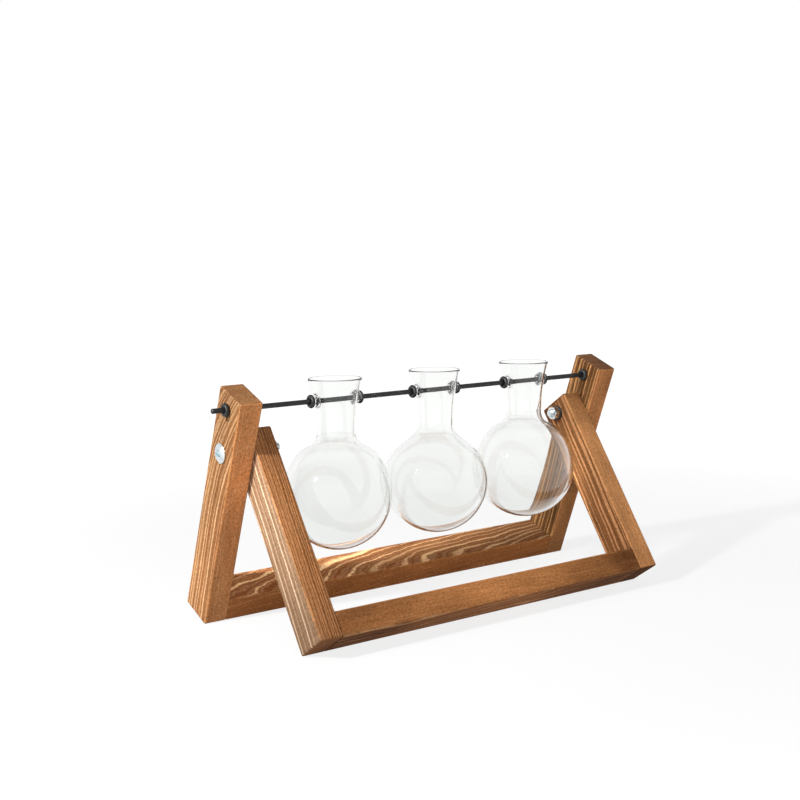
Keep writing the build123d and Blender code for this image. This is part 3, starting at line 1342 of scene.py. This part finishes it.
@dataclass
class RodSet:
    """The rod with the four rings that stop it at the long legs."""

    rubber: Material
    body: str = "rod"
    rod: str = "hanging_rod"

    def build(self) -> None:
        """Finishes the rod and builds its rings."""
        set_material(bpy.data.objects[self.rod], SatinBlack().material("satin_black"))
        log.info("%s: satin black", self.rod)
        for side in Side:
            for reach in ("inner", "outer"):
                RubberRing(f"rod_stop_ring_{side.label}_{reach}", self.body, self.rubber).build()


@dataclass
class BulbVase:
    """A blown bulb with a flared neck and two fused collars that the rod passes through.

    A collar is drawn as rings, from its foot to the bore's inner end. Foot, body and mouth
    shares are a ring's radius, as a share of the foot outside the collar, of the collar or
    of the bore, and its share of the way from the wall to the face. Bore shares are its
    radius, as a share of the bore, and its share of the way out through the wall. Calm
    shares are how many collar radii from the rod the wall begins to waver, and wavers most.
    """

    place: Place
    centre: Vector
    rubber: Material
    seed: float
    swell: float
    swell_angle: float = math.radians(52)
    swell_width: float = math.radians(18)
    shoulder_round: float = 8.5 * MM
    bulb_radius: float = 33.0 * MM
    bulb_drop: float = 58.0 * MM
    neck_radius: float = 11.6 * MM
    lip_radius: float = 16.3 * MM
    lip_rise: float = 12.0 * MM
    wall: float = 1.15 * MM
    bore_radius: float = 1.6 * MM
    inner_port_share: float = 1.75
    collar_radius: float = 3.6 * MM
    collar_face: float = 15.38 * MM
    collar_foot: float = 1.3 * MM
    foot_shares: tuple[Pair, ...] = ((0.66, 0.05), (0.36, 0.16), (0.15, 0.34), (0.03, 0.58))
    body_shares: tuple[Pair, ...] = ((0.98, 0.8), (0.91, 0.93), (0.78, 1.0))
    mouth_shares: tuple[Pair, ...] = ((1.35, 1.0), (1.1, 0.98), (1.0, 0.9))
    bore_shares: tuple[Pair, ...] = ((1.0, 0.25), (1.12, 0.06), (1.4, 0.0))
    waviness: float = 0.004
    wave_length: float = 17.0 * MM
    calm_shares: Pair = (1.8, 4.8)
    neck_steps: int = 42
    shoulder_steps: int = 10
    globe_steps: int = 56
    lip_steps: int = 8
    around: int = 112
    crease: float = 75.0

    @property
    def node(self) -> str:
        """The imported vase's name."""
        return f"vase_{self.place.value}"

    @property
    def waist(self) -> float:
        """Height of the narrowest ring of the neck, from the rod."""
        across = self.neck_radius + self.shoulder_round
        return math.sqrt((self.bulb_radius + self.shoulder_round) ** 2 - across**2) - self.bulb_drop

    @property
    def flare(self) -> float:
        """Radius of the arc that opens the neck from its waist to the lip."""
        rise, spread = self.lip_rise - self.waist, self.lip_radius - self.neck_radius
        return (rise**2 + spread**2) / (2 * spread)

    def neck_at(self, height: float, inset: float) -> float:
        """The neck's radius at a height from the rod, on the wall's outer or inner side."""
        reach = self.flare + inset
        return self.neck_radius + self.flare - math.sqrt(reach**2 - (height - self.waist) ** 2)

    def outline(self, inset: float) -> list[Pair]:
        """One side of the wall, from the lip down to the foot.

        Args:
            inset: how far the outline lies inside the outer one.

        Returns:
            Points out from the axis and up from the rod.
        """
        waist, bulb = self.waist, self.bulb_radius - inset
        across = self.neck_radius + self.shoulder_round
        lip = math.asin((self.lip_rise - waist) / self.flare)
        towards = math.atan2(waist + self.bulb_drop, across)
        centre = (self.neck_radius + self.flare, waist)
        neck = arc(centre, self.flare + inset, math.pi - lip, math.pi, self.neck_steps)
        bend = self.shoulder_round + inset
        shoulder = arc((across, waist), bend, math.pi, math.pi + towards, self.shoulder_steps)
        globe = arc((0.0, -self.bulb_drop), bulb, towards, -math.pi / 2, self.globe_steps)
        points = neck + [self.swollen(point) for point in shoulder[1:] + globe[1:]]
        return points[:-1] + [(0.0, points[-1][1])]

    def swollen(self, point: Pair) -> Pair:
        """Moves a point of the bulb out where this vase was blown fuller, or in where leaner.

        Args:
            point: the point, out from the axis and up from the rod.

        Returns:
            The moved point.
        """
        out, up = point[0], point[1] + self.bulb_drop
        away = (math.atan2(up, out) - self.swell_angle) / self.swell_width
        scale = 1 + self.swell * math.exp(-(away**2)) / math.hypot(out, up)
        return out * scale, up * scale - self.bulb_drop

    def wall_profile(self) -> list[Pair]:
        """Draws the wall: up the inside from the foot, over the rounded lip and down the outside.

        Returns:
            Points out from the axis and up from the rod.
        """
        outer, inner = self.outline(0.0), self.outline(self.wall)
        middle = ((outer[0][0] + inner[0][0]) / 2, (outer[0][1] + inner[0][1]) / 2)
        tilt = math.atan2(outer[0][1] - inner[0][1], outer[0][0] - inner[0][0])
        lip = arc(middle, self.wall / 2, tilt + math.pi, tilt, self.lip_steps)
        return inner[::-1] + lip[1:-1] + outer

    def ripple(self, mesh: Mesh) -> None:
        """Makes the wall a little uneven, as breath leaves it, but not beside the ports.

        Args:
            mesh: the wall, before its ports are cut.
        """
        offset = Vector((self.seed, 2 * self.seed, 3 * self.seed))
        calm_end, wavy_from = (share * self.collar_radius for share in self.calm_shares)
        for vert in mesh.verts:
            from_port = math.hypot(vert.co.y, vert.co.z) - calm_end
            strength = max(0.0, min(1.0, from_port / (wavy_from - calm_end)))
            wave = noise.noise(vert.co / self.wave_length + offset)
            scale = 1 + self.waviness * wave * strength
            vert.co.x *= scale
            vert.co.y *= scale

    def wall_x(self, height: float, out: float, inset: float) -> float:
        """How far the wall stands along the rod at a height and a distance in front of the rod."""
        return math.sqrt(self.neck_at(height, inset) ** 2 - out**2)

    @staticmethod
    def set_on_ring(vert: Vert, side: Side, radius: float, reach: Reach) -> None:
        """Moves a point to a distance from the rod's line and to a place along it.

        Args:
            vert: the point.
            side: which way the port faces.
            radius: the distance from the rod's line.
            reach: gives the place along the rod.
        """
        angle = math.atan2(vert.co.z, vert.co.y)
        out, height = radius * math.cos(angle), radius * math.sin(angle)
        vert.co = Vector((side.value * reach(height, out), out, height))

    def open_port(self, mesh: Mesh, side: Side, inset: float, radius: float) -> list[Edge]:
        """Cuts a round port in one side of the neck's wall.

        Args:
            mesh: the vase.
            side: which way the port faces.
            inset: 0 for the outer side of the wall, its thickness for the inner side.
            radius: the port's radius.

        Returns:
            The port's edges, on a circle that lies in the wall's surface.
        """

        def in_port(point: Vector) -> bool:
            """Tells whether a face lies in the port.

            Args:
                point: the face's middle.

            Returns:
                True where it does.
            """
            if point.x * side.value <= 0 or math.hypot(point.y, point.z) > radius:
                return False
            depth = self.neck_at(point.z, 0.0) - math.hypot(point.x, point.y)
            return abs(depth - inset) < self.wall / 2

        faces = [f for f in mesh.faces if in_port(f.calc_center_median())]
        known = {e for e in mesh.edges if e.is_boundary}
        bmesh.ops.delete(mesh, geom=faces, context="FACES")
        edges = [e for e in mesh.edges if e.is_boundary and e not in known]
        for vert in {v for e in edges for v in e.verts}:
            self.set_on_ring(vert, side, radius, lambda height, out: self.wall_x(height, out, inset))
        return edges

    def next_ring(
        self, mesh: Mesh, edges: list[Edge], side: Side, radius: float, reach: Reach
    ) -> list[Edge]:
        """Extrudes a ring of edges to the next ring of the collar.

        Args:
            mesh: the vase.
            edges: the ring so far.
            side: which way the collar faces.
            radius: the next ring's radius.
            reach: gives the next ring's place along the rod.

        Returns:
            The next ring's edges.
        """
        made = bmesh.ops.extrude_edge_only(mesh, edges=edges)["geom"]
        for vert in (g for g in made if isinstance(g, Vert)):
            self.set_on_ring(vert, side, radius, reach)
        return [g for g in made if isinstance(g, Edge)]

    def collar_rings(self) -> list[Pair]:
        """Lists the collar's rings outside the wall, from the foot to the bore.

        Returns:
            For each ring, its radius and its share of the way from the wall to the face.
        """
        rings = [(self.collar_radius + out * self.collar_foot, share) for out, share in self.foot_shares]
        rings += [(out * self.collar_radius, share) for out, share in self.body_shares]
        return rings + [(out * self.bore_radius, share) for out, share in self.mouth_shares]

    def fuse_collar(self, mesh: Mesh, side: Side) -> None:
        """Raises a collar round the outer port and leads its bore through to the inner one.

        Args:
            mesh: the vase.
            side: which way the collar faces.
        """
        ring = self.open_port(mesh, side, 0.0, self.collar_radius + self.collar_foot)
        inner = self.open_port(mesh, side, self.wall, self.inner_port_share * self.bore_radius)
        for radius, share in self.collar_rings():

            def raised(height: float, out: float, share: float = share) -> float:
                """How far out along the rod the collar's ring lies."""
                return self.collar_face * share + self.wall_x(height, out, 0.0) * (1 - share)

            ring = self.next_ring(mesh, ring, side, radius, raised)
        for out, share in self.bore_shares:

            def within(height: float, out: float, share: float = share) -> float:
                """How far out along the rod the bore's ring lies."""
                return self.wall_x(height, out, self.wall) + share * self.wall

            ring = self.next_ring(mesh, ring, side, out * self.bore_radius, within)
        bmesh.ops.bridge_loops(mesh, edges=ring + inner)

    def build(self) -> None:
        """Blows the vase, fuses its collars and sets it on the rod between its rings."""
        mesh = lathe(self.wall_profile(), self.around)
        self.ripple(mesh)
        for side in Side:
            self.fuse_collar(mesh, side)
        bmesh.ops.translate(mesh, vec=self.centre, verts=mesh.verts)
        glass = BlownGlass(seed=self.seed).material(f"clear_glass_{self.place.value}")
        piece = finish_piece(mesh, f"{self.node}_blown", glass, self.crease)
        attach(piece, f"{self.place.value}_vase")
        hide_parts(self.node)
        log.info("%s: %d faces", piece.name, len(piece.data.polygons))
        body = f"{self.place.value}_vase_rings"
        for side in Side:
            RubberRing(f"{self.node}_ring_{side.label}", body, self.rubber).build()


@dataclass(frozen=True)
class Lamp:
    """A round lamp that shows in gloss or glass only if it is mirrored."""

    name: str
    place: Vector
    size: float
    power: float
    mirrored: bool

    def hang(self, target: Vector) -> None:
        """Hangs the lamp.

        Args:
            target: what it faces.
        """
        data = bpy.data.lights.new(self.name, "AREA")
        data.shape = "DISK"
        data.size = self.size
        data.energy = self.power
        lamp = bpy.data.objects.new(self.name, data)
        lamp.location = self.place
        lamp.rotation_euler = (target - self.place).to_track_quat("-Z", "Y").to_euler()
        lamp.visible_glossy = lamp.visible_transmission = self.mirrored
        bpy.context.scene.collection.objects.link(lamp)


@dataclass
class Studio:
    """A white floor, an even sky, a hard lamp from the left, a soft one, and the camera."""

    target: Vector
    lamps: tuple[Lamp, ...] = (
        Lamp("key", Vector((-1.065, -0.088, 0.668)), size=0.09, power=20.0, mirrored=True),
        Lamp("fill", Vector((-0.7, -1.5, 0.45)), size=1.2, power=14.0, mirrored=False),
    )
    camera_place: Vector = Vector((-471.31, -626.96, 224.33)) * MM
    azimuth: float = math.radians(-35.27)
    elevation: float = math.radians(7.0)
    roll: float = math.radians(-0.98)
    focal_pixels: float = 1256.47
    frame_pixels: float = 800.0
    sensor: float = 36.0
    floor_size: float = 60.0
    floor_colour: str = "6C6C6C"
    floor_glow: float = 0.81
    floor_glow_reach: Pair = (0.2, 0.9)
    floor_bounce: float = 0.2
    sky_light: float = 0.34
    zenith_shown: float = 0.45
    zenith_reach: Pair = (0.25, 0.8)

    def floor_material(self) -> Material:
        """Makes a matt floor that is seen as white, throws soft light up and takes a shadow.

        Returns:
            The material.
        """
        sheet = MaterialSheet("studio_floor")
        away = sheet.step(sheet.length(sheet.own), *self.floor_glow_reach)
        seen = sheet.seen()
        glow = sheet.times(seen, sheet.span(away, self.floor_glow, 1.0))
        bounce = sheet.span(seen, self.floor_bounce, 0.0)
        matt = {"Base Color": paint(self.floor_colour), "Roughness": 1.0, "Specular IOR Level": 0.0}
        light = {"Emission Color": WHITE, "Emission Strength": sheet.plus(glow, bounce)}
        sheet.fill(sheet.shader, matt | light)
        return sheet.material

    def floor(self) -> None:
        """Lays the floor."""
        mesh = bmesh.new()
        bmesh.ops.create_grid(mesh, x_segments=1, y_segments=1, size=self.floor_size / 2)
        floor = finish_piece(mesh, "studio_floor", self.floor_material())
        floor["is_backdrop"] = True

    def sky(self) -> None:
        """An even sky that lights softly, and is seen as white with a greyer zenith."""
        world = bpy.data.worlds.new("studio_sky")
        bpy.context.scene.world = world
        world.use_nodes = True
        world.node_tree.nodes.clear()
        sheet = NodeSheet(world.node_tree)
        height = sheet.parts(sheet.add("ShaderNodeTexCoord").outputs["Generated"])[2]
        shown = sheet.span(sheet.step(height, *self.zenith_reach), 1.0, self.zenith_shown)
        seen = sheet.seen()
        light = sheet.times(sheet.minus(1.0, seen), self.sky_light)
        background = sheet.add("ShaderNodeBackground")
        strength = sheet.math("MULTIPLY_ADD", seen, shown, light)
        sheet.fill(background, {"Color": WHITE, "Strength": strength})
        sheet.fill(sheet.add("ShaderNodeOutputWorld"), {"Surface": background.outputs[0]})

    def camera(self) -> None:
        """Sets the camera where the photograph was taken from."""
        level = Euler((math.pi / 2 - self.elevation, 0, self.azimuth)).to_matrix().to_4x4()
        camera_data = bpy.data.cameras.new("camera")
        camera_data.sensor_width = self.sensor
        camera_data.lens = self.focal_pixels / self.frame_pixels * self.sensor
        camera = bpy.data.objects.new("camera", camera_data)
        turn = level @ Matrix.Rotation(self.roll, 4, "Z")
        camera.matrix_world = Matrix.Translation(self.camera_place) @ turn
        bpy.context.scene.collection.objects.link(camera)
        bpy.context.scene.camera = camera

    def build(self) -> None:
        """Sets up floor, light and camera."""
        self.floor()
        self.sky()
        for lamp in self.lamps:
            lamp.hang(self.target)
        self.camera()
        bpy.context.scene.view_settings.view_transform = "Standard"


def timber_frames(frame: dict) -> tuple[TimberFrame, TimberFrame]:
    """Sets up the stand's two frames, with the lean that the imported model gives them.

    Args:
        frame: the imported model.

    Returns:
        The rear frame and the front frame.
    """
    axes = {mount["name"]: mount["axis"] for mount in frame["record"]["mounts"]}
    back, face = axes["rear_rail_back_face"], axes["front_rail_face"]
    rear = TimberFrame(math.atan2(back[2], back[1]), "rear_rail", REAR_BOARDS)
    front = TimberFrame(-math.atan2(face[2], -face[1]), "front_rail", FRONT_BOARDS)
    return rear, front


def main() -> None:
    """Builds and dresses the stand, its hardware, the rod and the vases."""
    logging.basicConfig(level=logging.INFO, format="%(message)s")
    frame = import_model()
    packed_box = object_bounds()
    joints = {joint["name"]: joint for joint in frame["joints"]}
    pivot = Vector(joints["stand_fold"]["pos_m"])
    Effects.build()
    rear, front = timber_frames(frame)
    rear.dress()
    front.dress()
    nylon = MouldedBlack("121212", "262626", gloss=(0.45, 0.6)).material("black_nylon")
    rubber = MouldedBlack("0C0C0C", "1F1F1F", gloss=(0.46, 0.66)).material("black_rubber")
    for side in Side:
        PivotHardware(side, pivot, rear.lean, nylon).build()
    RodSet(rubber).build()
    swells = {Place.LEFT: 1.6 * MM, Place.MIDDLE: -1.6 * MM, Place.RIGHT: 1.2 * MM}
    for seed, (place, swell) in enumerate(swells.items(), start=1):
        centre = Vector(joints[f"{place.value}_vase_swing"]["pos_m"])
        BulbVase(place, centre, rubber, float(seed), swell).build()
    low, high = packed_box
    Studio((low + high) / 2).build()


if __name__ == "__main__":
    main()
